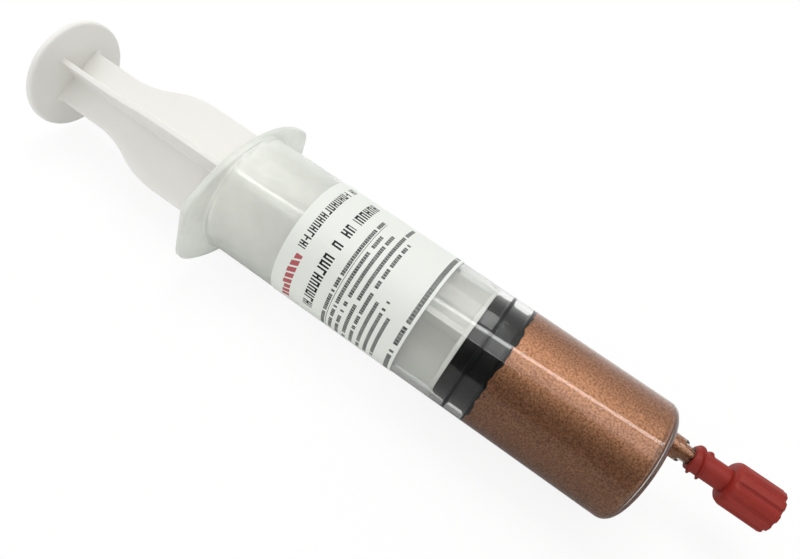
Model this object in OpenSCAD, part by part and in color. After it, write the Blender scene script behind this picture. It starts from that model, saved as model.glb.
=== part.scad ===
// Syringe filled with contact paste, lying on the long side of its finger flange.
// The syringe's own axis runs along +X, from the thumb disc to the nozzle.
// Stations along it are counted from the thumb side of the flange.

/* [Barrel] */
// Outside diameter of the tube
barrel_od = 31.8; // [28:0.1:36]
// Wall of the tube
barrel_wall = 1.2; // [0.9:0.05:1.8]
// Length from the flange's thumb side to the outside of the end wall
barrel_len = 118.7; // [105:0.1:130]
// Thickness of the end wall
end_wall = 1.6; // [1.2:0.1:2.4]
// Radius of the tube's outer corner at the end wall
end_round = 2.6; // [1.6:0.1:3]
// Width of the lead-in bevel at the mouth
mouth_bevel = 0.7; // [0.3:0.05:0.9]
// Distance of the retaining bead from the flange's thumb side
bead_at = 5; // [4.6:0.1:9]
// Height of the retaining bead above the bore
bead_h = 0.35; // [0.2:0.05:0.5]

/* [Finger flange] */
// How far each ear stands out from the tube
flange_ear = 7.7; // [6:0.1:10]
// How far each long side stands out from the tube
flange_rim = 0.7; // [0.4:0.1:4]
// Flange thickness
flange_t = 2; // [1.6:0.1:3]
// Radius of the long sides
flange_side_r = 37.4; // [34:0.2:60]
// Radius of the four corners
flange_corner_r = 5.4; // [2:0.1:6]
// Radius of the fillet between flange and tube
flange_fillet = 1.4; // [0.6:0.1:2]

/* [Nozzle] */
// Distance of the nozzle's axis in from the tube's outside
nozzle_in = 4.3; // [4.2:0.1:15.9]
// Diameter of the nozzle's collar at the end wall
collar_d = 6.4; // [5.6:0.1:7]
// Diameter of the collar at its shoulder
collar_end_d = 6; // [5.2:0.1:6.6]
// Length of the collar
collar_len = 8.4; // [4:0.1:10]
// Diameter of the luer cone at its tip
luer_tip_d = 3.97; // [3.92:0.01:4]
// Length of the luer cone
luer_len = 9.4; // [8:0.1:10.5]
// Change of the cone's diameter with length
luer_taper = 0.06; // [0.05:0.005:0.07]
// Diameter of the channel in the luer cone
channel_d = 2.6; // [1.8:0.1:3]
// Diameter of the wider throat inside the collar
throat_d = 4.2; // [3.2:0.1:4.6]
// Length of collar left in front of the throat
throat_stop = 1; // [0.8:0.1:3]

/* [Plunger] */
// Length from the thumb side of the disc to the front of the head disc
rod_len = 128.2; // [125:0.2:140]
// Thickness of the ribs
rib_t = 1.5; // [1.1:0.05:2]
// Gap between the wide ribs and the bore
rib_play = 0.95; // [0.5:0.05:1.6]
// Width across the ribs below the thumb disc
rib_narrow = 16.2; // [14:0.1:20]
// Distance from the thumb disc's thumb side to the start of the curve
curve_at = 15.4; // [8:0.1:20]
// Length of the curve from the narrow to the wide ribs
curve_len = 24; // [16:0.5:30]
// Radius of the fillet in the corners between the ribs
rib_fillet = 1; // [0.5:0.1:2]
// Angle by which the rod is turned about its axis, away from upright ribs
rib_roll = 37; // [0:1:90]
// Diameter of the thumb disc
thumb_d = 30.2; // [26:0.2:34]
// Thickness of the thumb disc
thumb_t = 2; // [1.6:0.1:3]
// Gap between the head disc behind the rubber and the bore
head_play = 0.7; // [0.5:0.05:1.6]
// Thickness of the head disc
head_t = 1.2; // [1:0.1:2.4]
// Diameter of the neck in front of the head disc
neck_d = 10; // [8:0.1:12]
// Length of the neck
neck_len = 2.4; // [1.8:0.1:3]
// Diameter of the knob that holds the rubber
knob_d = 15; // [13:0.1:18]
// Length of the knob
knob_len = 4.8; // [3.5:0.1:5.4]

/* [Rubber piston] */
// Length of the rubber from its back to its nose
piston_len = 11.5; // [11:0.1:14]
// Radial gap between the sealing lips and the bore
seal_gap = 0.05; // [0.02:0.01:0.1]
// Depth of the groove between the lips
groove_depth = 0.7; // [0.4:0.05:1]
// Distance from the rubber's back to the middle of the back lip
back_lip_at = 4.1; // [3.2:0.1:4.6]
// Width of the back lip at its crest
back_lip_w = 0.8; // [0.3:0.05:0.9]
// Width of the front lip at its crest
front_lip_w = 1.4; // [1:0.1:2.6]
// Radius of the rubber's back corner
skirt_round = 0.8; // [0.3:0.1:1.2]
// Height of the rubber's nose
nose_h = 0.8; // [0.4:0.1:1.4]
// Gap between the rubber and the knob inside it
grip_gap = 0.03; // [0.02:0.01:0.1]

/* [Paste] */
// Length of the paste from the rubber's nose to the end wall
paste_len = 36.2; // [20:0.2:38]
// Gap between the paste and the plastic around it
paste_gap = 0.03; // [0.02:0.01:0.1]

/* [Cap] */
// Length of luer cone that shows between the collar and the cap
cone_shows = 2.1; // [1:0.1:2.6]
// Diameter of the cap's hub
hub_d = 6.4; // [6:0.05:6.7]
// Length of the hub, mouth to head
hub_len = 9.3; // [8:0.1:10]
// Gap between the luer cone and the cap's socket
luer_gap = 0.03; // [0.01:0.01:0.06]
// Depth of the socket
socket_len = 7.8; // [7.5:0.1:8.4]
// Diameter over the thread lugs
thread_d = 7.8; // [7.6:0.02:7.9]
// Distance between neighbouring threads
thread_pitch = 2.5; // [2.2:0.1:2.8]
// Diameter of the fluted head
cap_head_d = 11.6; // [10.4:0.1:12.6]
// Length of the head
cap_head_len = 12.5; // [11:0.1:14]
// Number of flutes round the head
flute_count = 10; // [6:1:14]
// Depth of a flute
flute_depth = 0.4; // [0.2:0.05:0.6]
// Radius of a flute's hollow
flute_r = 1.2; // [0.8:0.1:1.8]
// Inside diameter of the head's open end
collar_bore_d = 8.1; // [7.9:0.05:8.4]
// Depth of the head's open end
collar_bore_len = 8; // [6:0.1:9]

/* [Label] */
// Distance of the label from the flange's thumb side
label_at = 22.6; // [8:0.1:26]
// Length of the label along the tube
label_len = 35.8; // [30:0.1:46]
// Thickness of the label
label_t = 0.1; // [0.06:0.01:0.2]
// Gap left for the glue between label and tube
label_gap = 0.02; // [0.01:0.01:0.05]
// Angle on the underside that the label leaves bare
label_bare = 30; // [10:5:90]

/* [Hidden] */
$fn = 96;
arc_steps = 8;

bore_r = barrel_od / 2 - barrel_wall;
flange_len = barrel_od + 2 * flange_ear;
flange_wid = barrel_od + 2 * flange_rim;
nozzle_off = barrel_od / 2 - nozzle_in;
rib_wide = 2 * (bore_r - rib_play);
head_d = 2 * (bore_r - head_play);
inner_end = barrel_len - end_wall;
inner_round = max(end_round - barrel_wall, 0.4);

nose_x = inner_end - paste_len;
piston_x = nose_x - piston_len;
disc_x = piston_x - rod_len;
collar_end = barrel_len + collar_len;
luer_tip = collar_end + luer_len;
luer_root_d = luer_tip_d + luer_taper * luer_len;
cap_x = collar_end + cone_shows;
cap_end = cap_x + hub_len + cap_head_len;

// The flange's long side touches the ground, and the origin is under the middle of the whole
rest_h = flange_wid / 2;
middle_x = (disc_x + cap_end) / 2;

clear_plastic = [0.86, 0.9, 0.88, 0.35];
white_plastic = [0.93, 0.92, 0.89];
black_rubber = [0.08, 0.08, 0.08];
copper_paste = [0.62, 0.33, 0.17];
red_plastic = [0.68, 0.13, 0.12];
label_paper = [0.86, 0.88, 0.86];

// Points of an arc in a profile, from angle a to angle b round a centre
function arc(centre, r, a, b) =
    [for (i = [0:arc_steps]) let (t = a + (b - a) * i / arc_steps) centre + r * [cos(t), sin(t)]];

// Lays the syringe down: everything is drawn about the tube's axis and carried here
module laid() {
    translate([-middle_x, 0, rest_h]) children();
}

// Turns a profile round the X axis; its points are [station along X, radius]
module turned(profile) {
    rotate([0, 90, 0]) rotate_extrude() polygon([for (p = profile) [p[1], p[0]]]);
}

// Moves a piece from the tube's axis to the nozzle's axis
module on_nozzle() {
    translate([0, nozzle_off, 0]) children();
}

// Half of the flange's outline that carries the right-hand ear, as one run of points
function ear_points() =
    let (ear = flange_len / 2,
         c = flange_corner_r,
         deep = flange_side_r - flange_wid / 2,
         cu = ear - c,
         cv = sqrt(pow(flange_side_r - c, 2) - cu * cu) - deep,
         lean = atan2(cv + deep, cu),
         side = [for (i = [0:2 * arc_steps])
                     let (t = 90 + (lean - 90) * i / (2 * arc_steps))
                     [flange_side_r * cos(t), flange_side_r * sin(t) - deep]],
         corner = arc([cu, cv], c, lean, 0))
    concat(side, [for (i = [1:arc_steps]) corner[i]]);

module flange_outline() {
    ear = ear_points();
    back = len(ear) - 1;
    quarter = concat(ear, [[ear[back][0], 0], [0, 0]]);
    for (sx = [0, 1], sy = [0, 1]) mirror([sx, 0]) mirror([0, sy]) polygon(quarter);
}

// The flange is a plate across the axis, its ears along Y
module flange_plate(thick) {
    rotate([90, 0, 90]) linear_extrude(thick) flange_outline();
}

// Tube, closed by the end wall, with a rounded corner outside and inside
function tube_profile() = concat(
    [[0, bore_r], [0, barrel_od / 2]],
    arc([barrel_len - end_round, barrel_od / 2 - end_round], end_round, 90, 0),
    [[barrel_len, 0], [inner_end, 0]],
    arc([inner_end - inner_round, bore_r - inner_round], inner_round, 0, 90));

// Fillet ring in the corner between flange and tube
function fillet_profile() = concat(
    [[flange_t / 2, barrel_od / 2 - barrel_wall / 2],
     [flange_t / 2, barrel_od / 2 + flange_fillet]],
    arc([flange_t + flange_fillet, barrel_od / 2 + flange_fillet], flange_fillet, 180, 270),
    [[flange_t + flange_fillet, barrel_od / 2 - barrel_wall / 2]]);

// Shallow bead that keeps the piston from being pulled out
function bead_profile() =
    let (r = (bead_h * bead_h + 1) / (2 * bead_h), a = asin(1 / r))
    concat([[bead_at + 1, bore_r + barrel_wall / 2], [bead_at - 1, bore_r + barrel_wall / 2]],
           arc([bead_at, bore_r + r - bead_h], r, 270 - a, 270 + a));

function nozzle_profile() = [
    [barrel_len - end_wall / 2, 0],
    [barrel_len - end_wall / 2, collar_d / 2],
    [barrel_len, collar_d / 2],
    [collar_end - 0.4, collar_end_d / 2],
    [collar_end, collar_end_d / 2 - 0.4],
    [collar_end, luer_root_d / 2],
    [luer_tip, luer_tip_d / 2],
    [luer_tip, 0]];

// Channel from one station to another: a wide throat in the collar, then the narrow bore
function channel_profile(from, to, gap) =
    let (shoulder = collar_end - throat_stop, wide = throat_d / 2 - gap, narrow = channel_d / 2 - gap)
    [[from, 0], [from, wide], [shoulder, wide], [shoulder + wide - narrow, narrow], [to, narrow], [to, 0]];

module barrel() {
    color(clear_plastic) laid() {
        difference() {
            union() {
                turned(tube_profile());
                difference() {
                    union() {
                        flange_plate(flange_t);
                        intersection() {
                            turned(fillet_profile());
                            flange_plate(flange_t + flange_fillet + 1);
                        }
                    }
                    rotate([0, 90, 0]) translate([0, 0, -1])
                        cylinder(h = flange_t + flange_fillet + 2, r = bore_r + barrel_wall / 2);
                }
                turned(bead_profile());
                on_nozzle() turned(nozzle_profile());
            }
            on_nozzle() turned(channel_profile(inner_end - 1, luer_tip + 1, 0));
            turned([[-1, 0], [-1, bore_r + mouth_bevel + 1], [mouth_bevel, bore_r], [mouth_bevel, 0]]);
        }
    }
}

// One pair of opposite ribs seen from the side: narrow below the disc, wide in the tube
module rib_profile() {
    n = rib_narrow / 2;
    w = rib_wide / 2;
    rise = w - n;
    r = (curve_len * curve_len + rise * rise) / (4 * rise);
    a = asin(curve_len / 2 / r);
    from = disc_x + curve_at;
    to = from + curve_len;
    edge = concat(
        [[disc_x + thumb_t / 2, n + rib_fillet]],
        arc([disc_x + thumb_t + rib_fillet, n + rib_fillet], rib_fillet, 180, 270),
        arc([from, n + r], r, 270, 270 + a),
        arc([to, w - r], r, 90 + a, 90),
        [[piston_x - head_t / 2, w]]);
    polygon(concat(edge, [for (i = [len(edge) - 1:-1:0]) [edge[i][0], -edge[i][1]]]));
}

// Square bar with hollow sides that fills the corners between the ribs
module rib_core() {
    half = rib_t / 2 + rib_fillet;
    rotate([rib_roll, 0, 0]) rotate([90, 0, 90]) translate([0, 0, disc_x + thumb_t / 2])
        linear_extrude(piston_x - head_t / 2 - disc_x - thumb_t / 2)
            difference() {
                square(2 * half, center = true);
                for (sy = [-1, 1], sz = [-1, 1]) translate([sy * half, sz * half]) circle(r = rib_fillet);
            }
}

function thumb_profile() =
    let (r = thumb_t / 2)
    concat([[disc_x, 0]], arc([disc_x + r, thumb_d / 2 - r], r, 180, 0), [[disc_x + thumb_t, 0]]);

function head_profile(grow) = [
    [piston_x - head_t, 0],
    [piston_x - head_t, head_d / 2 - 0.3],
    [piston_x - head_t + 0.3, head_d / 2],
    [piston_x, head_d / 2],
    [piston_x, neck_d / 2 + grow],
    [piston_x + neck_len - grow, neck_d / 2 + grow],
    [piston_x + neck_len - grow, knob_d / 2 + grow],
    [piston_x + neck_len + knob_len / 2, knob_d / 2 + grow],
    [piston_x + neck_len + knob_len + grow, knob_d / 4 + grow],
    [piston_x + neck_len + knob_len + grow, 0]];

module plunger() {
    color(white_plastic) laid() {
        for (a = [0, 90]) rotate([rib_roll + a, 0, 0])
            translate([0, 0, -rib_t / 2]) linear_extrude(rib_t) rib_profile();
        rib_core();
        turned(thumb_profile());
        turned(head_profile(0));
    }
}

// Outside of the rubber: back skirt, thin lip, groove, broad front lip and low cone
function rubber_profile() =
    let (seal = bore_r - seal_gap,
         low = seal - groove_depth,
         skirt = seal - groove_depth / 2,
         lip = piston_x + back_lip_at,
         front = nose_x - nose_h)
    [[piston_x, 0],
     each arc([piston_x + skirt_round, skirt - skirt_round], skirt_round, 180, 90),
     [lip - back_lip_w / 2 - 0.5, skirt],
     [lip - back_lip_w / 2, seal],
     [lip + back_lip_w / 2, seal],
     [lip + back_lip_w / 2 + 0.5, low],
     [front - front_lip_w - 0.7, low],
     [front - front_lip_w - 0.1, seal],
     [front - 0.3, seal],
     [front, seal - 0.5],
     [nose_x, seal / 3],
     [nose_x, 0]];

module rubber_piston() {
    color(black_rubber) laid() {
        difference() {
            turned(rubber_profile());
            turned(concat([[piston_x - 1, 0], [piston_x - 1, neck_d / 2 + grip_gap]],
                          [for (i = [5:9]) head_profile(grip_gap)[i]]));
        }
    }
}

// Paste: a plug against the rubber's nose and the end wall, and a thread in the channel
function paste_profile() =
    let (r = bore_r - paste_gap,
         seal = bore_r - seal_gap,
         front = nose_x - nose_h + paste_gap,
         c = inner_round)
    concat(
        [[nose_x + paste_gap, 0], [nose_x + paste_gap, seal / 3], [front, seal - 0.5], [front, r]],
        arc([inner_end - paste_gap - c, r - c], c, 90, 0),
        [[inner_end - paste_gap, 0]]);

module paste_filling() {
    color(copper_paste) laid() {
        turned(paste_profile());
        on_nozzle() turned(channel_profile(inner_end - 0.5, luer_tip, paste_gap));
    }
}

// Socket that seats on the luer cone, wide at its mouth
function socket_profile() =
    let (mouth_d = luer_root_d - luer_taper * cone_shows + 2 * luer_gap,
         floor_d = mouth_d - luer_taper * socket_len)
    [[cap_x - 1, 0],
     [cap_x - 1, mouth_d / 2 + luer_taper / 2],
     [cap_x + socket_len, floor_d / 2],
     [cap_x + socket_len, 0]];

function cap_profile() =
    let (neck = cap_x + hub_len, r = cap_head_d / 2, round = 1.9, bevel = 0.5)
    concat(
        [[cap_x, 0], [cap_x, hub_d / 2 - 0.2], [cap_x + 0.2, hub_d / 2], [neck, hub_d / 2]],
        [[neck, r - round]],
        arc([neck + round, r - round], round, 180, 90),
        [[cap_end - bevel, r], [cap_end, r - bevel], [cap_end, 0]]);

// Open end of the head: a collar round a closing cone
function cap_cavity_profile() =
    let (from = cap_end - collar_bore_len)
    [[cap_end + 1, collar_bore_d / 2],
     [from, collar_bore_d / 2],
     [from, luer_root_d / 2],
     [cap_end - 1, luer_tip_d / 2 + 0.1],
     [cap_end - 0.6, luer_tip_d / 2 - 0.3],
     [cap_end - 0.6, 0],
     [cap_end + 1, 0]];

// One thread: a low ridge wound round the hub, its crest narrower than its foot
thread_steps = 20;
thread_turn = 250;
module thread(start) {
    foot = hub_d / 2 - 0.3;
    function lift(i) = min(1, i / 2, (thread_steps - i) / 2);
    function ring(i) =
        let (t = start + thread_turn * i / thread_steps,
             x = cap_x + 0.55 + 2 * thread_pitch * thread_turn / 360 * i / thread_steps,
             crest = hub_d / 2 - 0.05 + (thread_d / 2 - hub_d / 2 + 0.05) * lift(i))
        [for (p = [[-0.55, foot], [-0.2, crest], [0.2, crest], [0.55, foot]])
            [x + p[0], p[1] * cos(t), p[1] * sin(t)]];
    points = [for (i = [0:thread_steps]) each ring(i)];
    walls = [for (i = [0:thread_steps - 1], k = [0:3])
        let (a = 4 * i + k, b = 4 * i + (k + 1) % 4)
        each [[a, b, b + 4], [a, b + 4, a + 4]]];
    last = 4 * thread_steps;
    ends = [[0, 3, 2], [0, 2, 1], [last, last + 1, last + 2], [last, last + 2, last + 3]];
    polyhedron(points, concat(walls, ends));
}

module luer_cap() {
    color(red_plastic) laid() on_nozzle() {
        difference() {
            union() {
                turned(cap_profile());
                for (start = [0, 180]) thread(start);
            }
            turned(socket_profile());
            turned(cap_cavity_profile());
            for (i = [0:flute_count - 1]) rotate([360 * i / flute_count, 0, 0])
                translate([cap_x + hub_len + 0.6, 0, cap_head_d / 2 - flute_depth + flute_r])
                    rotate([0, 90, 0]) cylinder(h = cap_head_len, r = flute_r);
        }
    }
}

module wrap_label() {
    inner = barrel_od / 2 + label_gap;
    color(label_paper) laid()
        translate([label_at, 0, 0]) rotate([0, 90, 0]) rotate([0, 0, label_bare / 2])
            rotate_extrude(angle = 360 - label_bare)
                translate([inner, 0]) square([label_t, label_len]);
}

barrel();
plunger();
rubber_piston();
paste_filling();
luer_cap();
wrap_label();
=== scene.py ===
# %% [markdown]
# # A syringe of copper contact paste
# The syringe lies on a white table on the long side of its finger flange. It has six pieces: a clear
# barrel, a white rod, a black rubber piston, the copper paste, a red stopper and a printed label.
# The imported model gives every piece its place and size. Here each one is made again with smooth curves,
# rounded edges and a finish, and it stands exactly where the solid of the same name is.

# %% Load the frame
import math

import bmesh
import bpy
from mathutils import Matrix, Vector


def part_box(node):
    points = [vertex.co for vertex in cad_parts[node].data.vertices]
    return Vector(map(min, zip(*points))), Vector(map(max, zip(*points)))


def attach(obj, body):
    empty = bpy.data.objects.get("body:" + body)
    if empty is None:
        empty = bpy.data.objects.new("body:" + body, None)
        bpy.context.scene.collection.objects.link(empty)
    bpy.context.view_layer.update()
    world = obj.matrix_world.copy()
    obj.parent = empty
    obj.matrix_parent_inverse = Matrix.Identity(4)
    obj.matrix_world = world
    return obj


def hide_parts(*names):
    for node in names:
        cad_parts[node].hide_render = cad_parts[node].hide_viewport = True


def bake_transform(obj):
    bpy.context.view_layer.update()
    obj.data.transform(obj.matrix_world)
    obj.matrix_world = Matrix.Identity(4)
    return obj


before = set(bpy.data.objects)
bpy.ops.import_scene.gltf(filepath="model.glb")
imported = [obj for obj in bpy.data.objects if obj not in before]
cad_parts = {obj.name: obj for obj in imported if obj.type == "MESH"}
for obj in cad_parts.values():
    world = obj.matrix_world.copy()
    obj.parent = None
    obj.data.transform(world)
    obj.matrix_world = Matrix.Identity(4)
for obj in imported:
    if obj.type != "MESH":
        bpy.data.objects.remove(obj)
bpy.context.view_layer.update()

# %% [markdown]
# ## Working in the syringe's own terms
# Nearly every size of a syringe is a radius at some distance along its axis. So all pieces are drawn in
# millimetres about that axis, with x counted from the thumb side of the flange. That distance is called
# the station. One matrix carries a finished piece to its place in the frame, in metres.

# %% Stations and radii in millimetres
BORE = 14.7             # radius inside the tube
TUBE = 15.9             # radius outside
TUBE_END = 118.7
INNER_END = 117.1       # inside of the end wall
COLLAR_END = 127.1
LUER_TIP = 136.5
NOZZLE_Y = 11.6         # the nozzle stands this far beside the axis
NOSE = 80.9             # front of the rubber
RUBBER_BACK = 69.4
ROD_BACK = -58.8
CAP_MOUTH = 129.2
CAP_END = 151.0
LABEL_FROM = 22.6
LABEL_TO = 58.4
ROLL = math.radians(37)  # how far the rod is turned in the tube
FULL_TURN = 2 * math.pi

low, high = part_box("barrel")
AXIS_HEIGHT = (low[2] + high[2]) / 2
FLANGE_BACK = low[0]
PLACE = Matrix.Translation((FLANGE_BACK, 0, AXIS_HEIGHT)) @ Matrix.Scale(0.001, 4)
print("flange at x", round(FLANGE_BACK * 1000, 2), "axis at z", round(AXIS_HEIGHT * 1000, 2))

# %% [markdown]
# ## Lathe work
# Most of the syringe is round. A profile is a short chain of corners (x, radius), and `spin` turns it
# once round the axis. `bevel` then rounds chosen rims. Bevelling afterwards keeps the profile short: a
# rim is just one ring of edges. Turning comes with doubled corners on the axis, so these are merged.

# %% Lathe helpers
WELD = 0.0005
SAME_STATION = 0.002
SAME_RADIUS = 0.01


def lathe(profile, sides=160):
    """A profile of (x, radius) corners, turned once round the x axis."""
    bm = bmesh.new()
    chain = [bm.verts.new((x, 0, r)) for x, r in profile]
    links = [bm.edges.new(pair) for pair in zip(chain, chain[1:])]
    bmesh.ops.spin(bm, geom=chain + links, cent=(0, 0, 0), axis=(1, 0, 0), angle=FULL_TURN,
                   steps=sides, use_merge=True)
    bmesh.ops.remove_doubles(bm, verts=bm.verts, dist=WELD)
    bmesh.ops.recalc_face_normals(bm, faces=bm.faces)
    return bm


def soften(bm, edges, width, segments):
    """Rounds these edges."""
    bmesh.ops.bevel(bm, geom=edges, offset=width, offset_type="OFFSET", segments=segments, profile=0.5,
                    affect="EDGES", material=-1)


def round_rim(bm, x, r, width, segments=4):
    """Rounds the ring of edges that lies at this station and radius."""
    def on_rim(v):
        away = abs(math.hypot(v.co.y, v.co.z) - r)
        return abs(v.co.x - x) < SAME_STATION and away < SAME_RADIUS
    soften(bm, [e for e in bm.edges if on_rim(e.verts[0]) and on_rim(e.verts[1])], width, segments)


def arc(cx, cr, radius, start, end, steps=8):
    """Corners of a rounded stretch of a profile; angles in degrees."""
    turns = [math.radians(start + (end - start) * i / steps) for i in range(steps + 1)]
    return [(cx + radius * math.cos(t), cr + radius * math.sin(t)) for t in turns]


trial = lathe([(0, 0), (0, 1), (2, 1), (2, 0)])
print("a turned pin of radius 1 and length 2 has", round(trial.calc_volume(), 2), "mm3")
trial.free()

# %% [markdown]
# ## From a drawing to a piece
# A bmesh is only a drawing until a mesh and an object hold it. What is moulded in one is fused with a
# boolean, because two shells that merely overlap would show their inner walls. A finished piece is
# moved within its mesh, so that its object stays at the origin. Its flat faces are then told to stay
# flat, because a long flat face beside a small bevel is otherwise shaded with dark smudges.

# %% From a bmesh to an object in place
def pull(bm, along):
    """Extrudes the one flat face of a drawing into a solid."""
    grown = bmesh.ops.extrude_face_region(bm, geom=bm.faces[:])
    moved = [g for g in grown["geom"] if isinstance(g, bmesh.types.BMVert)]
    bmesh.ops.translate(bm, verts=moved, vec=along)
    bmesh.ops.recalc_face_normals(bm, faces=bm.faces)


def solid(bm, name, y=0.0):
    """A bmesh as an object, still in millimetres about the tube's axis."""
    bmesh.ops.translate(bm, verts=bm.verts, vec=(0, y, 0))
    mesh = bpy.data.meshes.new(name)
    bm.to_mesh(mesh)
    bm.free()
    obj = bpy.data.objects.new(name, mesh)
    bpy.context.scene.collection.objects.link(obj)
    return obj


def carve(base, tool, operation="DIFFERENCE"):
    """Cuts tool out of base, or fuses it on, and throws the tool away."""
    cut = base.modifiers.new("carve", "BOOLEAN")
    cut.object = tool
    cut.operation = operation
    cut.solver = "EXACT"
    seen = base.evaluated_get(bpy.context.evaluated_depsgraph_get())
    mesh = bpy.data.meshes.new_from_object(seen)
    base.modifiers.clear()
    base.data = mesh
    bpy.data.objects.remove(tool)
    return base


# %% Seat a finished piece
def seat(obj, finish, sharp=40):
    """Carries a finished piece to its place, smooth except at edges sharper than the angle."""
    mesh = obj.data
    mesh.name = obj.name
    mesh.transform(PLACE)
    mesh.shade_smooth()
    mesh.set_sharp_from_angle(angle=math.radians(sharp))
    mesh.materials.clear()
    mesh.materials.append(finish)
    flat = obj.modifiers.new("flat_faces_stay_flat", "WEIGHTED_NORMAL")
    flat.keep_sharp = True
    bm = bmesh.new()
    bm.from_mesh(mesh)
    loose = sum(1 for e in bm.edges if not e.is_manifold)
    triangles = sum(len(f.verts) - 2 for f in bm.faces)
    print(f"{obj.name}: {triangles} triangles, {loose} open edges, {bm.calc_volume() * 1e9:.0f} mm3")
    bm.free()
    return obj


# %% [markdown]
# ## Shader maths as plain sums
# A material is a small calculation. Wrapping a socket in a class with `+`, `*` and `<` lets the
# calculation be read as one, while each operator quietly adds its Math node. The reflected forms are
# there too, so that `1 - mask` works.

# %% A socket that can be calculated with
class Wire:
    """One output of a node, in a tree that new nodes are added to."""

    def __init__(self, tree, socket):
        self.tree = tree
        self.socket = socket

    def math(self, operation, *others, clamp=False):
        node = self.tree.nodes.new("ShaderNodeMath")
        node.operation = operation
        node.use_clamp = clamp
        for slot, value in zip(node.inputs, (self,) + others):
            plug(self.tree, slot, value)
        return Wire(self.tree, node.outputs[0])

    def __add__(self, other):
        return self.math("ADD", other)

    def __sub__(self, other):
        return self.math("SUBTRACT", other)

    def __mul__(self, other):
        return self.math("MULTIPLY", other)

    def __truediv__(self, other):
        return self.math("DIVIDE", other)

    def __rsub__(self, other):
        return (self * -1) + other

    def __lt__(self, other):
        return self.math("LESS_THAN", other)

    def __gt__(self, other):
        return self.math("GREATER_THAN", other)

    __radd__ = __add__
    __rmul__ = __mul__

    def clamped(self):
        return self.math("ADD", 0, clamp=True)

    def between(self, first, last):
        """1 where the value lies between the two, else 0."""
        return (self > first) * (self < last)


def plug(tree, slot, value):
    """Sets a socket to a number or colour, or links a wire to it."""
    if isinstance(value, Wire):
        tree.links.new(value.socket, slot)
    else:
        slot.default_value = value


# %% [markdown]
# ## Recipes
# A recipe is a tree of nodes that is being filled. One method adds any node: its settings go in first,
# because they decide which sockets it has, and then the values or wires of its sockets by name. The
# others are short names for what the finishes below use again and again.

# %% A tree of nodes under construction
class Recipe:
    """A tree of shader nodes that is filled step by step."""

    def __init__(self, tree):
        self.tree = tree
        self.tree.nodes.clear()

    def node(self, kind, settings=None, output=0, **sockets):
        """Any node: its settings first, then values or wires for its sockets by name."""
        made = self.tree.nodes.new(kind)
        for key, value in (settings or {}).items():
            setattr(made, key, value)
        for key, value in sockets.items():
            label = key.replace("_", " ")
            slot = next(s for s in made.inputs if s.enabled and s.name == label)
            plug(self.tree, slot, value)
        return Wire(self.tree, made.outputs[output]) if made.outputs else None

    def split(self, vector):
        """The three numbers of a vector or colour."""
        parts = self.node("ShaderNodeSeparateXYZ", Vector=vector)
        return [Wire(self.tree, part) for part in parts.socket.node.outputs]

    def place(self):
        """The piece's own coordinates in millimetres: station, across and height above the axis."""
        x, y, z = self.split(self.node("ShaderNodeTexCoord", output="Object"))
        return x * 1000 - FLANGE_BACK * 1000, y * 1000, z * 1000 - AXIS_HEIGHT * 1000

    def grain(self, size_mm, detail=3.0, rough=0.5, stretch=(1, 1, 1)):
        """Soft noise with lumps of about this size on the object."""
        spot = self.node("ShaderNodeTexCoord", output="Object")
        wide = tuple(1000 / size_mm * s for s in stretch)
        scaled = self.node("ShaderNodeMapping", Vector=spot, Scale=wide)
        return self.node("ShaderNodeTexNoise", Vector=scaled, Scale=1.0, Detail=detail, Roughness=rough)

    def chance(self, number, output="Value"):
        """A value between 0 and 1 that is another one for every whole number."""
        return self.node("ShaderNodeTexWhiteNoise", {"noise_dimensions": "1D"}, output, W=number)

    def blend(self, amount, first, second):
        """A colour between two, by amount. Its sockets share their names, so they go by number."""
        mixed = self.node("ShaderNodeMix", {"data_type": "RGBA"}, 2, Factor=amount)
        plug(self.tree, mixed.socket.node.inputs[6], first)
        plug(self.tree, mixed.socket.node.inputs[7], second)
        return mixed

    def bump(self, height, depth_mm, strength=1.0):
        """A surface that rises with the height, at most by this depth."""
        return self.node("ShaderNodeBump", Height=height, Distance=depth_mm / 1000, Strength=strength)

    def surface(self, **sockets):
        return self.node("ShaderNodeBsdfPrincipled", **sockets)

    def layer(self, amount, first, second):
        """Two shaders mixed: all of the first at 0, all of the second at 1."""
        mixed = self.node("ShaderNodeMixShader", Fac=amount)
        plug(self.tree, mixed.socket.node.inputs[1], first)
        plug(self.tree, mixed.socket.node.inputs[2], second)
        return mixed

    def path(self, fact):
        """A fact about the ray that arrives, such as its kind or how often it has bounced."""
        return self.node("ShaderNodeLightPath", output=fact)


class Finish(Recipe):
    """The recipe of a material."""

    def __init__(self, name):
        self.material = bpy.data.materials.new(name)
        self.material.use_nodes = True
        super().__init__(self.material.node_tree)

    def done(self, shader):
        self.node("ShaderNodeOutputMaterial", Surface=shader)
        print("finish:", self.material.name, "with", len(self.tree.nodes), "nodes")
        return self.material


def rgb(red, green, blue):
    """A colour as seen on a screen, 0 to 255, in the linear values that Blender mixes."""
    def linear(v):
        v = v / 255
        return v / 12.92 if v <= 0.04045 else ((v + 0.055) / 1.055) ** 2.4
    return (linear(red), linear(green), linear(blue), 1.0)


# %% [markdown]
# ## Clear plastic
# Polypropylene is clear but never like window glass: it bends light as strongly as glass, its skin is
# faintly uneven from the mould, and milkiness hangs in it. So the finish is a refracting surface with a
# little roughness, mixed with a share of a plain white one. The share is hardly anything round the
# paste, more where air stands behind the wall, and most between flange and label. The flange plate and
# the corner of the end wall are rougher, as they are handled and rubbed most.

# %% Finish of the clear barrel
FLANGE_ZONE = 3.4
OFF_THE_TUBE = TUBE + 0.5
END_CORNER = 1.7


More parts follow.
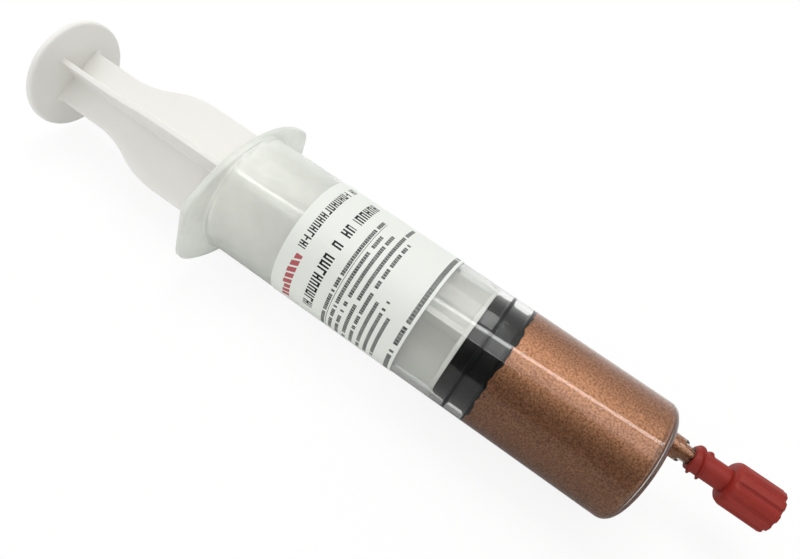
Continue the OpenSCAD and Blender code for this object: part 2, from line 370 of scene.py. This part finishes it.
def clear_plastic():
    f = Finish("clear_polypropylene")
    along, across, height = f.place()
    out = (across * across + height * height).math("SQRT")
    plate = (along < FLANGE_ZONE) * (out > OFF_THE_TUBE)
    rear = along < LABEL_FROM
    cloud = f.grain(11.0, detail=3.0)
    haze = plate * 0.16 + rear * 0.28 + (along < RUBBER_BACK) * 0.2
    waves = f.grain(9.0, detail=2.0, stretch=(0.35, 1, 1))
    skin = f.bump(waves, 0.012, 0.5)
    scuffs = f.grain(1.6, detail=5.0, rough=0.65)
    rim = along.between(TUBE_END - END_CORNER, TUBE_END + 0.1) * (out > TUBE - 3)
    rough = scuffs * 0.04 + plate * 0.2 + rim * 0.14 + 0.03
    glass = f.surface(Base_Color=(0.99, 1.0, 0.985, 1), Roughness=rough, IOR=1.49,
                      Transmission_Weight=1.0, Normal=skin)
    milk = f.surface(Base_Color=rgb(251, 253, 248), Roughness=0.75, IOR=1.2, Transmission_Weight=0.4,
                     Normal=skin)
    return f.done(f.layer(haze * (0.75 + cloud * 0.5) + 0.003, glass, milk))


clear_finish = clear_plastic()

# %% [markdown]
# ## The barrel, one moulding
# Tube, flange and nozzle come out of one mould, so they must be one closed skin here too: where two
# shells merely overlapped, light would bend at a wall that isn't there. The outside is turned, the
# flange plate and the nozzle are fused to it, and then bore and channel are cut from the whole.

# %% [markdown]
# The flange is a plate with two bowed long sides and two ears with rounded corners. Its outline is
# drawn once, flat, and extruded. Every outer edge is softened, because fingers pull on it. The fillet
# between plate and tube is turned, and trimmed by the same outline.

# %% Flange plate
EAR = 23.6              # from the axis to the end of an ear
HALF_WIDTH = 16.6       # from the axis to the middle of a bowed side
SIDE_RADIUS = 37.4
CORNER = 5.4
PLATE = 2.0


def flange_prism(first, last, rounding=0.0, inset=0.0):
    """The flange's outline, drawn in by an inset, as a prism between two stations."""
    deep = SIDE_RADIUS - HALF_WIDTH
    corner_y = EAR - CORNER
    corner_z = math.sqrt((SIDE_RADIUS - CORNER) ** 2 - corner_y ** 2) - deep
    lean = math.degrees(math.atan2(corner_z + deep, corner_y))
    quarter = arc(0, -deep, SIDE_RADIUS - inset, 90, lean, 20)
    quarter += arc(corner_y, corner_z, CORNER - inset, lean, 0, 12)[1:]
    half = quarter + [(y, -z) for y, z in reversed(quarter)]
    outline = half + [(-y, z) for y, z in reversed(half)][1:-1]
    bm = bmesh.new()
    bm.faces.new([bm.verts.new((first, y, z)) for y, z in outline])
    pull(bm, (last - first, 0, 0))
    if rounding:
        rims = [e for e in bm.edges if abs(e.verts[0].co.x - e.verts[1].co.x) < SAME_STATION]
        soften(bm, rims, rounding, 4)
    return solid(bm, "flange_prism")


# %% Outside of the tube
FILLET = 1.4
END_ROUND = 2.6
SUNK = 0.6              # the turned part starts inside the plate, at this station


def tube_outside():
    curve = arc(PLATE - 0.03 + FILLET, TUBE + FILLET, FILLET, 180, 270, 6)
    outside = [(SUNK, 0), (SUNK, curve[0][1])] + curve + [(TUBE_END, TUBE), (TUBE_END, 0)]
    bm = lathe(outside, 192)
    round_rim(bm, TUBE_END, TUBE, END_ROUND, 10)
    around = solid(lathe([(0, 0), (0, EAR), (4, EAR), (4, 0)], 96), "around")
    carve(around, flange_prism(-1.0, 6.0, inset=0.6))
    return carve(solid(bm, "barrel_shell"), around)


# %% [markdown]
# The nozzle has a collar, which the stopper's mouth meets, and a luer cone that tapers by 6 percent.
# The bore has a mouth that widens towards the thumb, and a small bead that keeps the rod from
# falling out. The channel is wide in the collar and narrow in the cone.

# %% Nozzle, bore and channel
COLLAR_R = 3.2
COLLAR_TIP_R = 3.0
LUER_ROOT_R = 2.27
LUER_TIP_R = 1.985
BEAD_AT = 5.0
MOUTH = 0.7
THROAT_END = COLLAR_END - 1.0
THROAT_R = 2.1
CHANNEL_R = 1.3


def nozzle():
    sunk = TUBE_END - 1.5
    bm = lathe([(sunk, 0), (sunk, COLLAR_R), (TUBE_END, COLLAR_R), (COLLAR_END, COLLAR_TIP_R),
                (COLLAR_END, LUER_ROOT_R), (LUER_TIP, LUER_TIP_R), (LUER_TIP, 0)], 96)
    round_rim(bm, COLLAR_END, COLLAR_TIP_R, 0.35, 3)
    round_rim(bm, LUER_TIP, LUER_TIP_R, 0.2, 3)
    return solid(bm, "nozzle", NOZZLE_Y)


def bore():
    mouth = [(-1, 0), (-1, BORE + 1 + MOUTH), (MOUTH, BORE)]
    bead = [(BEAD_AT - 1.1, BORE)] + arc(BEAD_AT, BORE + 1.25, 1.6, 232, 308, 8) + [(BEAD_AT + 1.1, BORE)]
    bm = lathe(mouth + bead + [(INNER_END, BORE), (INNER_END, 0)], 192)
    round_rim(bm, INNER_END, BORE, 1.4, 8)
    return solid(bm, "bore")


def channel(first, last, grown=0.0):
    """A wide throat in the collar and a narrow bore in the cone."""
    wide = THROAT_R + grown
    narrow = CHANNEL_R + grown
    return solid(lathe([(first, 0), (first, wide), (THROAT_END, wide), (THROAT_END + 0.8, narrow),
                        (last, narrow), (last, 0)], 64), "channel", NOZZLE_Y)


# %% Fuse and cut the barrel
barrel = tube_outside()
carve(barrel, flange_prism(0.0, PLATE, rounding=0.5), "UNION")
carve(barrel, nozzle(), "UNION")
carve(barrel, bore())
carve(barrel, channel(INNER_END - 0.2, LUER_TIP + 1))
barrel.name = "barrel_clear"
seat(barrel, clear_finish, 35)
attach(barrel, "tube")
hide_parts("barrel")

# %% [markdown]
# ## White plastic
# The rod is polyethylene: warm white, satin, faintly cloudy, with a slightly pebbled skin from the
# mould. The clouds are a large soft noise between two whites. The pebbles are a fine noise that gives
# both the roughness and a very shallow bump.

# %% Finish of the rod
def white_plastic():
    f = Finish("white_polyethylene")
    cloud = f.grain(14.0, detail=3.0)
    skin = f.grain(0.5, detail=3.0)
    colour = f.blend(cloud, rgb(241, 240, 236), rgb(235, 234, 229))
    return f.done(f.surface(Base_Color=colour, Roughness=0.42 + skin * 0.12, IOR=1.5,
                            Normal=f.bump(skin, 0.01, 0.6)))


white_finish = white_plastic()

# %% [markdown]
# ## The rod
# Two thin plates cross at the axis. Seen from the side each is narrow below the thumb disc and swings
# out in an S to the width of the bore, where it guides the rod. The plate is drawn as that outline,
# extruded to its thickness and softened along its edges. The two plates, a square core with hollow
# corners, the disc and the head are then fused into one moulding.

# %% One rib plate
RIB = 1.5
NARROW = 8.1
WIDE = 13.75
DISC_THICK = 2.0
FLARE = 1.2             # radius where a rib runs out into the disc
CURVE_FROM = ROD_BACK + 15.4
CURVE_LENGTH = 24.0


def rib_plate(turn, start):
    """One plate of the cross, turned about the axis; it starts and ends this far inside disc and head."""
    swing = WIDE - NARROW
    radius = (CURVE_LENGTH ** 2 + swing ** 2) / (4 * swing)
    half = math.degrees(math.asin(CURVE_LENGTH / 2 / radius))
    foot = NARROW + FLARE
    edge = [(ROD_BACK + start, foot)]
    edge += arc(ROD_BACK + DISC_THICK + FLARE, foot, FLARE, 180, 270, 5)
    edge += arc(CURVE_FROM, NARROW + radius, radius, 270, 270 + half, 14)
    edge += arc(CURVE_FROM + CURVE_LENGTH, WIDE - radius, radius, 90 + half, 90, 14)[1:]
    edge += [(RUBBER_BACK - start, WIDE)]
    bm = bmesh.new()
    upper = [bm.verts.new((x, -RIB / 2, w)) for x, w in edge]
    lower = [bm.verts.new((x, -RIB / 2, -w)) for x, w in reversed(edge)]
    bm.faces.new(upper + lower)
    pull(bm, (0, RIB, 0))
    rims = [e for e in bm.edges if abs(e.verts[0].co.y - e.verts[1].co.y) < SAME_STATION
            and abs(e.verts[0].co.z) + abs(e.verts[1].co.z) > 2 * NARROW - 0.1]
    soften(bm, rims, 0.3, 3)
    bmesh.ops.rotate(bm, cent=(0, 0, 0), matrix=Matrix.Rotation(turn, 3, "X"), verts=bm.verts)
    return solid(bm, "rib_plate")


# %% Core with hollow corners
CORE_FROM = ROD_BACK + 1.2
CORE_TO = RUBBER_BACK - 0.7
HOLLOW = 1.0


def rod_core():
    half = RIB / 2 + 0.98 * HOLLOW
    corners = []
    for quarter in range(4):
        for y, z in arc(half, half, HOLLOW, 180, 270, 6):
            for _ in range(quarter):
                y, z = z, -y
            corners.append((y, z))
    corners.sort(key=lambda p: math.atan2(p[1], p[0]))
    bm = bmesh.new()
    bm.faces.new([bm.verts.new((CORE_FROM, y, z)) for y, z in corners])
    pull(bm, (CORE_TO - CORE_FROM, 0, 0))
    bmesh.ops.rotate(bm, cent=(0, 0, 0), matrix=Matrix.Rotation(ROLL, 3, "X"), verts=bm.verts)
    return solid(bm, "rod_core")


# %% Thumb disc and head
DISC_R = 15.1
ROD_HEAD_R = 14.0
NECK_R = 5.0
NECK_END = RUBBER_BACK + 2.4
KNOB_R = 7.5
KNOB_FRONT = RUBBER_BACK + 4.8
KNOB_TIP = RUBBER_BACK + 7.2
KNOB_TIP_R = 3.75


def thumb_disc():
    front = ROD_BACK + DISC_THICK
    bm = lathe([(ROD_BACK, 0), (ROD_BACK, DISC_R), (front, DISC_R), (front, 0)], 160)
    round_rim(bm, ROD_BACK, DISC_R, 0.8, 6)
    round_rim(bm, front, DISC_R, 0.8, 6)
    return solid(bm, "thumb_disc")


def rod_head():
    back = RUBBER_BACK - 1.2
    bm = lathe([(back, 0), (back, ROD_HEAD_R), (RUBBER_BACK, ROD_HEAD_R), (RUBBER_BACK, NECK_R),
                (NECK_END, NECK_R), (NECK_END, KNOB_R), (KNOB_FRONT, KNOB_R), (KNOB_TIP, KNOB_TIP_R),
                (KNOB_TIP, 0)], 128)
    round_rim(bm, back, ROD_HEAD_R, 0.4, 4)
    return solid(bm, "rod_head")


# %% Fuse the rod
rod = rib_plate(ROLL, 1.0)
rod.name = "plunger_rod"
carve(rod, rib_plate(ROLL + math.pi / 2, 0.9), "UNION")
carve(rod, rod_core(), "UNION")
carve(rod, thumb_disc(), "UNION")
carve(rod, rod_head(), "UNION")
seat(rod, white_finish, 40)
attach(rod, "rod")
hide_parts("plunger")

# %% [markdown]
# ## The rubber
# The piston seals with two lips: a thin one behind and a broad one in front. Where a lip presses on the
# wall no air is left between them, and the rubber looks black out to the very edge of the tube. In the
# groove between the lips the air stays, and there the wall mirrors the room instead. So the lips reach
# a hair into the wall, and everything else of the rubber keeps clear of it.

# %% Finish of the rubber
def black_rubber():
    f = Finish("black_rubber")
    skin = f.grain(0.35, detail=4.0)
    return f.done(f.surface(Base_Color=rgb(7, 10, 8), Roughness=0.38 + skin * 0.15, IOR=1.5,
                            Specular_IOR_Level=0.35, Normal=f.bump(skin, 0.008, 0.5)))


rubber_finish = black_rubber()

# %% The piston
LIP = BORE + 0.01
SKIRT = BORE - 0.4
GROOVE = BORE - 0.75
SHOULDER = NOSE - 0.8   # where the front lip ends and the cone to the nose begins
NOSE_R = 4.9
PLAY = 0.03             # air between the knob and the socket in the rubber


def rubber_piston():
    b = RUBBER_BACK
    bm = lathe([(b, 0), (b, SKIRT), (b + 3.2, SKIRT), (b + 3.7, LIP), (b + 4.5, LIP), (b + 5.0, GROOVE),
                (SHOULDER - 2.1, GROOVE), (SHOULDER - 1.5, LIP), (SHOULDER - 0.3, LIP),
                (SHOULDER, LIP - 0.5), (NOSE, NOSE_R), (NOSE, 0)], 160)
    round_rim(bm, b, SKIRT, 0.9, 5)
    hollow = lathe([(b - 1, 0), (b - 1, NECK_R + PLAY), (NECK_END - PLAY, NECK_R + PLAY),
                    (NECK_END - PLAY, KNOB_R + PLAY), (KNOB_FRONT, KNOB_R + PLAY),
                    (KNOB_TIP + PLAY, KNOB_TIP_R + PLAY), (KNOB_TIP + PLAY, 0)], 96)
    return carve(solid(bm, "piston_rubber"), solid(hollow, "knob_socket"))


piston = seat(rubber_piston(), rubber_finish, 30)
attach(piston, "rod")
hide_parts("rubber_piston")

# %% [markdown]
# ## Copper paste
# The paste is grease full of copper flakes. It is matt brown in the shade and sparkles in the light,
# with a fine grain that shows at arm's length. It has crept back a little over the front lip, in a
# ragged line. It has rings of corners only at its two ends, and none along its length.

# %% Finish of the paste
def copper_paste():
    f = Finish("copper_paste")
    fine = f.grain(0.46, detail=3.0, rough=0.78)
    flakes = f.grain(0.2, detail=1.0)
    broad = f.grain(7.0, detail=3.0)
    speckle = ((fine - 0.5) * 3.0 + 0.5).clamped()
    base = f.blend(speckle, rgb(132, 82, 54), rgb(240, 180, 138))
    toned = f.blend(broad * 0.35, base, rgb(172, 110, 76))
    return f.done(f.surface(Base_Color=toned, Metallic=0.92, Roughness=0.38 + flakes * 0.16,
                            Normal=f.bump(fine, 0.06, 0.9)))


paste_finish = copper_paste()

# %% The ragged back edge of the paste
def creep(turn):
    """Station of the paste's back edge on the bore, at this angle round it."""
    slow = 0.5 + 0.5 * math.cos(turn - math.radians(170))
    ragged = 0.3 * math.sin(5 * turn + 1) + 0.25 * math.sin(13 * turn) + 0.2 * math.sin(31 * turn + 2)
    furthest = NOSE - 2.25
    nearest = NOSE - 1.06
    return max(furthest, min(nearest, NOSE - 1.0 - 0.7 * slow - 0.75 * ragged))


print("the paste's back edge above and below:", round(creep(math.pi / 2), 2), round(creep(-math.pi / 2), 2))

# %% The plug of paste, and the thread of it in the channel
WET = BORE + 0.02       # the paste wets the wall, with no air between
THIN = WET - 0.006
PASTE_ROUND = 1.45
EDGE = NOSE - 1.2       # the ring of corners that becomes the ragged edge
EDGE_TOP = NOSE - 1.3


def paste_plug():
    front = INNER_END + 0.02
    back = [(NOSE + 0.03, 0), (NOSE + 0.03, NOSE_R), (NOSE - 0.77, LIP - 0.49), (NOSE - 1.05, THIN),
            (EDGE, THIN), (EDGE_TOP, WET)]
    rim = arc(front - PASTE_ROUND, WET - PASTE_ROUND, PASTE_ROUND, 90, 0, 7)
    bm = lathe(back + rim + [(front, 0)], 180)
    for v in bm.verts:
        edge = creep(math.atan2(v.co.z, v.co.y))
        if abs(v.co.x - EDGE) < 0.01:
            v.co.x = edge
        elif abs(v.co.x - EDGE_TOP) < 0.01:
            v.co.x = edge - 0.05
    return solid(bm, "paste_plug")


thread = channel(INNER_END - 0.5, LUER_TIP - 0.1, 0.01)
paste = seat(carve(paste_plug(), thread, "UNION"), paste_finish, 50)
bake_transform(paste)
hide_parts("paste_filling")

# %% [markdown]
# ## The label
# A matt film is wrapped round the tube and leaves a strip bare underneath. It is a thin plate bent
# round the tube, so its section is drawn as four corners and spun through most of a turn. Its print
# runs round the tube in lines, and is a field of simple shapes: rows of little strokes drawn by chance,
# and one row of slanted red blocks. Nothing in it can be read.

# %% The film
LABEL_R = TUBE + 0.12
FILM_START = -75        # degrees round the tube
FILM_REACH = 330


def label_film():
    bm = bmesh.new()
    start = math.radians(FILM_START)
    inside = TUBE + 0.02
    corners = [(LABEL_FROM, inside), (LABEL_TO, inside), (LABEL_TO, LABEL_R), (LABEL_FROM, LABEL_R)]
    ring = [bm.verts.new((x, r * math.cos(start), r * math.sin(start))) for x, r in corners]
    face = bm.faces.new(ring)
    bmesh.ops.spin(bm, geom=[face], cent=(0, 0, 0), axis=(1, 0, 0), angle=math.radians(FILM_REACH),
                   steps=150)
    bmesh.ops.remove_doubles(bm, verts=bm.verts, dist=WELD)
    bmesh.ops.recalc_face_normals(bm, faces=bm.faces)
    return solid(bm, "label_sheet")


# %% [markdown]
# ### The print
# A row is a band of stations between two angles. Within it the length round the tube, divided by the
# width of one mark, counts the cells. A cell draws its strokes by chance: an upright on the left, often
# one on the right, and a level bar between them. The smallest rows are too small for strokes, so
# their cells are filled with grey instead.

# %% Lines of print
LINES = (
    # station, half height, from angle, to angle, width of one mark
    (26.7, 1.05, 64, 146, 1.35),
    (33.6, 1.35, 107.5, 195.5, 1.75),
    (33.7, 1.35, 69, 101.5, 1.75),
    (38.3, 0.47, 83.5, 210.5, 0.66),
    (40.45, 0.47, 99, 210, 0.66),
    (42.4, 0.47, 90, 210, 0.66),
    (44.55, 0.47, 64, 209.5, 0.66),
    (46.55, 0.47, 89, 209, 0.66),
    (48.65, 0.46, 147.5, 208.5, 0.66),
    (50.7, 0.46, 142, 208, 0.66),
    (52.75, 0.46, 153.5, 208, 0.66),
    (57.0, 0.6, 49.5, 218.5, 0.9),
)
SMALL_PRINT_FROM = 36
ROW_APART = 97          # keeps the cells of one row from repeating those of another
LEFT, RIGHT = 0.05, 0.8  # a stroke's reach within its cell
STEM = 0.26
BAR_HALF = 0.2
BAR_STEP = 0.76
MARKED = 0.86           # share of the cells that hold a mark


def print_marks(f, along, length, angle):
    """1 where ink is: rows of little upright and level strokes, with gaps as between words."""
    inside = 0
    level = 0
    letter = 0
    for number, (station, half, first, last, wide) in enumerate(LINES):
        row = along.between(station - half, station + half) * angle.between(first, last)
        inside = row + inside
        level = row * ((along - station) / half) + level
        letter = row * (length / wide + ROW_APART * number) + letter
    cell = letter.math("FLOOR")
    within = letter - cell
    word, side, bar = f.split(f.chance(cell, "Color"))
    bar_at = (bar * 3).math("FLOOR") * BAR_STEP - BAR_STEP
    upright = within.between(LEFT, LEFT + STEM)
    second = within.between(RIGHT - STEM, RIGHT) * (side < 0.68)
    level_bar = ((level - bar_at).math("ABSOLUTE") < BAR_HALF) * within.between(LEFT, RIGHT)
    stroke = upright.math("MAXIMUM", second).math("MAXIMUM", level_bar)
    small = (along > SMALL_PRINT_FROM) * (0.5 + side * 0.4) * (within < 0.86)
    return inside * stroke.math("MAXIMUM", small) * (word < MARKED)


# %% Finish of the label
RULE = (39.08, 39.24)
RULE_ANGLES = (83.5, 210.5)
MARK = (25.7, 28.2)
MARK_ANGLES = (152, 206)


def printed_film():
    f = Finish("printed_film")
    along, across, height = f.place()
    angle = height.math("ARCTAN2", across) * (180 / math.pi)
    angle = angle + (angle < -90) * 360
    length = angle * (math.pi / 180 * LABEL_R)
    ink = print_marks(f, along, length, angle)
    rule = along.between(*RULE) * angle.between(*RULE_ANGLES)
    slanted = length * 0.52 + along * 0.22
    tall = f.chance(slanted.math("FLOOR"))
    mark = along.between(*MARK) * (along > 26.6 - tall) * angle.between(*MARK_ANGLES)
    mark = mark * (slanted.math("FRACT") < 0.74)
    fibre = f.grain(0.4, detail=4.0)
    paper = f.blend(fibre, rgb(227, 231, 224), rgb(234, 237, 231))
    printed = f.blend(ink.math("MAXIMUM", rule * 0.8), paper, rgb(26, 29, 28))
    coloured = f.blend(mark * 0.9, printed, rgb(176, 44, 58))
    return f.done(f.surface(Base_Color=coloured, Roughness=0.5, IOR=1.45,
                            Normal=f.bump(fibre, 0.006, 0.5)))


label = seat(label_film(), printed_film(), 30)
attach(label, "tube")
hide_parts("wrap_label")

# %% [markdown]
# ## The red stopper
# The stopper is a luer socket with two thread lugs, and a fluted head to grip. The head is turned like
# the rest, then every corner of its outer skin is pressed in where a flute runs. The lugs are made as
# a screw is: a small profile that moves along the axis while it turns.

# %% Finish of the stopper
def red_plastic():
    f = Finish("red_plastic")
    cloud = f.grain(4.0, detail=3.0)
    skin = f.grain(0.3, detail=3.0)
    colour = f.blend(cloud, rgb(158, 46, 36), rgb(138, 38, 30))
    return f.done(f.surface(Base_Color=colour, Roughness=0.42 + skin * 0.12, IOR=1.5,
                            Specular_IOR_Level=0.3, Normal=f.bump(skin, 0.012, 0.6)))


red_finish = red_plastic()

# %% Flutes
HEAD_R = 5.8
FLUTES = 10
FLUTE_HALF = 0.75
FLUTE_DEEP = 0.5


def flute(turn):
    """1 in the middle of a flute, 0 between flutes."""
    off = (turn - math.pi / 2) * FLUTES / FULL_TURN
    off = abs(off - round(off)) * FULL_TURN * HEAD_R / FLUTES
    return math.sqrt(max(0.0, 1 - (off / FLUTE_HALF) ** 2)) if off < FLUTE_HALF else 0.0


def press_flutes(bm, start, inner):
    """Presses the skin outside the inner radius in along every flute; they run out before the start."""
    for v in bm.verts:
        r = math.hypot(v.co.y, v.co.z)
        if v.co.x > start and r > inner:
            ramp = min(1.0, (v.co.x - start) / 1.6)
            deep = FLUTE_DEEP * ramp * flute(math.atan2(v.co.z, v.co.y))
            v.co.y *= (r - deep) / r
            v.co.z *= (r - deep) / r


print("a flute at the top of the head:", flute(math.pi / 2), "and halfway to the next:",
      flute(math.pi / 2 + math.pi / FLUTES))

# %% Hub and fluted head
HUB_R = 3.2
HEAD_FROM = CAP_MOUTH + 9.3
HEAD_ROUND = 1.9
COLLAR_BORE = 4.05
COLLAR_DEPTH = 8
PLUG_TIP_R = 1.7


def head_and_hub():
    round_end = HEAD_FROM + HEAD_ROUND
    shoulder = arc(round_end, HEAD_R - HEAD_ROUND, HEAD_ROUND, 180, 90, 8)
    steps = [(round_end + i, HEAD_R) for i in range(1, 10)]
    floor = CAP_END - COLLAR_DEPTH
    inner = [(CAP_END, COLLAR_BORE), (floor, COLLAR_BORE), (floor, 2.27), (CAP_END - 1, 2.08),
             (CAP_END - 0.6, PLUG_TIP_R), (CAP_END - 0.6, 0)]
    socket = [(CAP_MOUTH + 7.8, 0), (CAP_MOUTH + 7.8, 2.01), (CAP_MOUTH, 2.24)]
    outer = [(CAP_MOUTH, HUB_R), (HEAD_FROM, HUB_R)] + shoulder + steps + [(CAP_END, HEAD_R)]
    bm = lathe(socket + outer + inner, 200)
    press_flutes(bm, HEAD_FROM + 0.3, COLLAR_BORE + 0.25)
    round_rim(bm, CAP_MOUTH, HUB_R, 0.25, 3)
    round_rim(bm, CAP_END, COLLAR_BORE, 0.25, 3)
    edge = [e for e in bm.edges if all(abs(v.co.x - CAP_END) < SAME_STATION for v in e.verts)
            and all(math.hypot(v.co.y, v.co.z) > 5.0 for v in e.verts)]
    soften(bm, edge, 0.45, 3)
    return solid(bm, "luer_stopper", NOZZLE_Y)


# %% Thread lugs
LUG_TURN = 250          # degrees that a lug runs round the hub
LUG_STEPS = 60
PITCH = 5.0
LUG_FOOT = 3.1
LUG_PROFILE = ((-0.6, 2.95), (-0.55, 3.15), (-0.24, 3.78), (-0.12, 3.9), (0.12, 3.9), (0.24, 3.78),
               (0.55, 3.15), (0.6, 2.95))


def lug(start):
    turn = math.radians(LUG_TURN)
    rise = PITCH * LUG_TURN / 360 / LUG_STEPS
    bm = bmesh.new()
    ring = [bm.verts.new((CAP_MOUTH + 0.62 + x, r, 0)) for x, r in LUG_PROFILE]
    face = bm.faces.new(ring)
    bmesh.ops.spin(bm, geom=[face], cent=(0, 0, 0), axis=(1, 0, 0), dvec=(rise, 0, 0), angle=turn,
                   steps=LUG_STEPS)
    bmesh.ops.remove_doubles(bm, verts=bm.verts, dist=WELD)
    for v in bm.verts:
        r = math.hypot(v.co.y, v.co.z)
        swept = math.atan2(v.co.z, v.co.y) % FULL_TURN
        swept = 0.0 if swept > turn + 0.2 else swept
        lift = max(0.05, min(1.0, 0.05 + swept / 0.35, 0.05 + (turn - swept) / 0.35))
        if r > HUB_R:
            new = LUG_FOOT + (r - LUG_FOOT) * lift
            v.co.y *= new / r
            v.co.z *= new / r
    bmesh.ops.rotate(bm, cent=(0, 0, 0), matrix=Matrix.Rotation(start, 3, "X"), verts=bm.verts)
    bmesh.ops.recalc_face_normals(bm, faces=bm.faces)
    return solid(bm, "lug", NOZZLE_Y)


# %% Fuse the stopper
stopper = head_and_hub()
carve(stopper, lug(0.0), "UNION")
carve(stopper, lug(math.pi), "UNION")
seat(stopper, red_finish, 32)
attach(stopper, "cap")
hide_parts("luer_cap")

# %% [markdown]
# ## Camera
# The camera stands above the syringe's near side and looks down at about 44 degrees. Its place and its
# lens come from the picture's own perspective, so nothing is shifted or cropped. Its three directions
# are written out, because that says best how it is held.

# %% Place the camera
RIGHT_HAND = Vector((0.8149, 0.4869, 0.3146))
UP = Vector((-0.5592, 0.5175, 0.6477))
BACK = Vector((0.1526, -0.7037, 0.6939))
STAND = (0.0274, -0.1174, 0.1376)

lens = bpy.data.cameras.new("camera")
lens.lens = 30.971
lens.sensor_width = 36.0
lens.clip_start = 0.01
camera = bpy.data.objects.new("camera", lens)
bpy.context.scene.collection.objects.link(camera)
held = Matrix((RIGHT_HAND, UP, BACK)).transposed()
camera.matrix_world = Matrix.Translation(STAND) @ held.to_4x4()
bpy.context.scene.camera = camera
print("camera at", [round(v, 4) for v in camera.location])

# %% [markdown]
# ## Table
# The syringe lies on the flange's long side, on a plain white table that keeps a soft shadow. The table
# is a matt surface with some white light of its own, which only the camera sees, straight or through
# the clear plastic. What mirrors the table sees mostly another glow of it instead, a painted reflection
# that is dim in front of the syringe and bright behind it.

# %% White table
def white_table():
    f = Finish("white_table")
    through = f.path("Is Transmission Ray")
    mirrored = f.path("Glossy Depth") > 0.5
    seen = f.path("Is Camera Ray").math("MAXIMUM", through * (1 - mirrored))
    glossy = f.path("Is Glossy Ray").math("MAXIMUM", through * mirrored)
    matt = f.node("ShaderNodeBsdfDiffuse", Color=(0.94, 0.94, 0.93, 1))
    bright = f.node("ShaderNodeEmission", Color=(1, 1, 1, 1), Strength=1.0)
    # Painted reflection for mirrored rays: a glow that is dim in front of the syringe and bright behind it.
    far_side = (f.place()[1] * (1 / 30) - 0.5).clamped()
    painted_reflection_glow = f.node("ShaderNodeEmission", Color=far_side * 0.75 + 0.22, Strength=1.0)
    return f.done(f.layer(seen * 0.88, f.layer(glossy * 0.8, matt, painted_reflection_glow), bright))


def table():
    bm = bmesh.new()
    bmesh.ops.create_grid(bm, x_segments=1, y_segments=1, size=3.0)
    mesh = bpy.data.meshes.new("table")
    bm.to_mesh(mesh)
    bm.free()
    obj = bpy.data.objects.new("table", mesh)
    obj.location = (0, 0, -0.0001)
    bpy.context.scene.collection.objects.link(obj)
    obj.data.materials.append(white_table())
    return obj


table()

# %% [markdown]
# ## Room
# The room is pale all round, which lights the matt surfaces evenly. What the glossy ones mirror is
# another matter: pale walls, and a dark side in front of the syringe. Light Path tells the two apart:
# a ray that has met a mirror first, and nothing matt, sees the walls and the dark side.

# %% Room light
DARK_FROM, DARK_TO = 118.0, 128.0   # degrees up from the far side, over the top
WALL_TOP = 40.0


def room():
    world = bpy.data.worlds.new("pale_room")
    world.use_nodes = True
    bpy.context.scene.world = world
    f = Recipe(world.node_tree)
    ahead, across, up = f.split(f.node("ShaderNodeTexCoord", output="Generated"))
    turn = up.math("ARCTAN2", across) * (180 / math.pi)
    shade = f.node("ShaderNodeMapRange", {"interpolation_type": "SMOOTHSTEP"}, Value=turn,
                   From_Min=DARK_FROM, From_Max=DARK_TO)
    white = f.node("ShaderNodeBackground", Color=(1, 1, 1, 1), Strength=1.0)
    even = f.node("ShaderNodeBackground", Strength=1.0,
                  Color=ahead * -0.22 + across * -0.12 + up * 0.06 + 0.71)
    wall_light = f.node("ShaderNodeMapRange", Value=turn, From_Min=0.0, From_Max=WALL_TOP,
                        To_Min=0.95, To_Max=0.4)
    walls = f.node("ShaderNodeBackground", Color=wall_light, Strength=1.0)
    dark_side = f.node("ShaderNodeBackground", Color=(1, 1, 1, 1), Strength=0.02)
    mirrored = (f.path("Glossy Depth") > 0.5) * (f.path("Diffuse Depth") < 0.5)
    lit = f.layer(mirrored, even, f.layer(shade, walls, dark_side))
    f.node("ShaderNodeOutputWorld", Surface=f.layer(f.path("Is Camera Ray"), lit, white))
    print("room:", len(world.node_tree.nodes), "nodes")


room()

# %% [markdown]
# ## Lamps
# Four long lamps hang about a metre up. The key lamp, on the far side, only lights. The other three
# only show in what is glossy: one narrow lamp draws the thin bright line along the tube, a dim, wide
# one beside it the soft band, and a third the faint line near the tube's lower edge.

# %% Hang the lamps
LAMPS = (
    # name, start, end, width, radiance
    ("key_lamp", (-0.57, 0.33, 1.0), (0.03, 0.33, 1.0), 0.6, 4.2),
    ("line_lamp", (-0.70, -0.533, 1.03), (0.55, 0.156, 1.03), 0.09, 7.0),
    ("edge_lamp", (-0.70, -0.827, 1.03), (0.12, -0.671, 1.03), 0.05, 2.6),
    ("soft_lamp", (-0.70, -0.68, 1.04), (0.55, -0.215, 1.04), 0.46, 1.05),
)


def hang(name, start, end, width, radiance):
    """A long narrow lamp between two points, facing down."""
    first, last = Vector(start), Vector(end)
    along = (last - first).normalized()
    data = bpy.data.lights.new(name, "AREA")
    data.shape = "RECTANGLE"
    data.size = (last - first).length
    data.size_y = width
    data.energy = radiance * math.pi * data.size * width
    lamp = bpy.data.objects.new(name, data)
    side = Vector((0, 0, 1)).cross(along).normalized()
    basis = Matrix((along, side, along.cross(side))).transposed()
    lamp.matrix_world = Matrix.Translation((first + last) / 2) @ basis.to_4x4()
    bpy.context.scene.collection.objects.link(lamp)
    return lamp


for lamp_row in LAMPS:
    hung = hang(*lamp_row)
    hung.visible_diffuse = hung.name == "key_lamp"
    hung.visible_glossy = hung.name != "key_lamp"
    print(hung.name, "lights" if hung.visible_diffuse else "shows in what is glossy")

# %% [markdown]
# ## Last settings
# Colours are shown as they are written, with no film look.

# %% Finish
bpy.context.scene.view_settings.view_transform = "Standard"
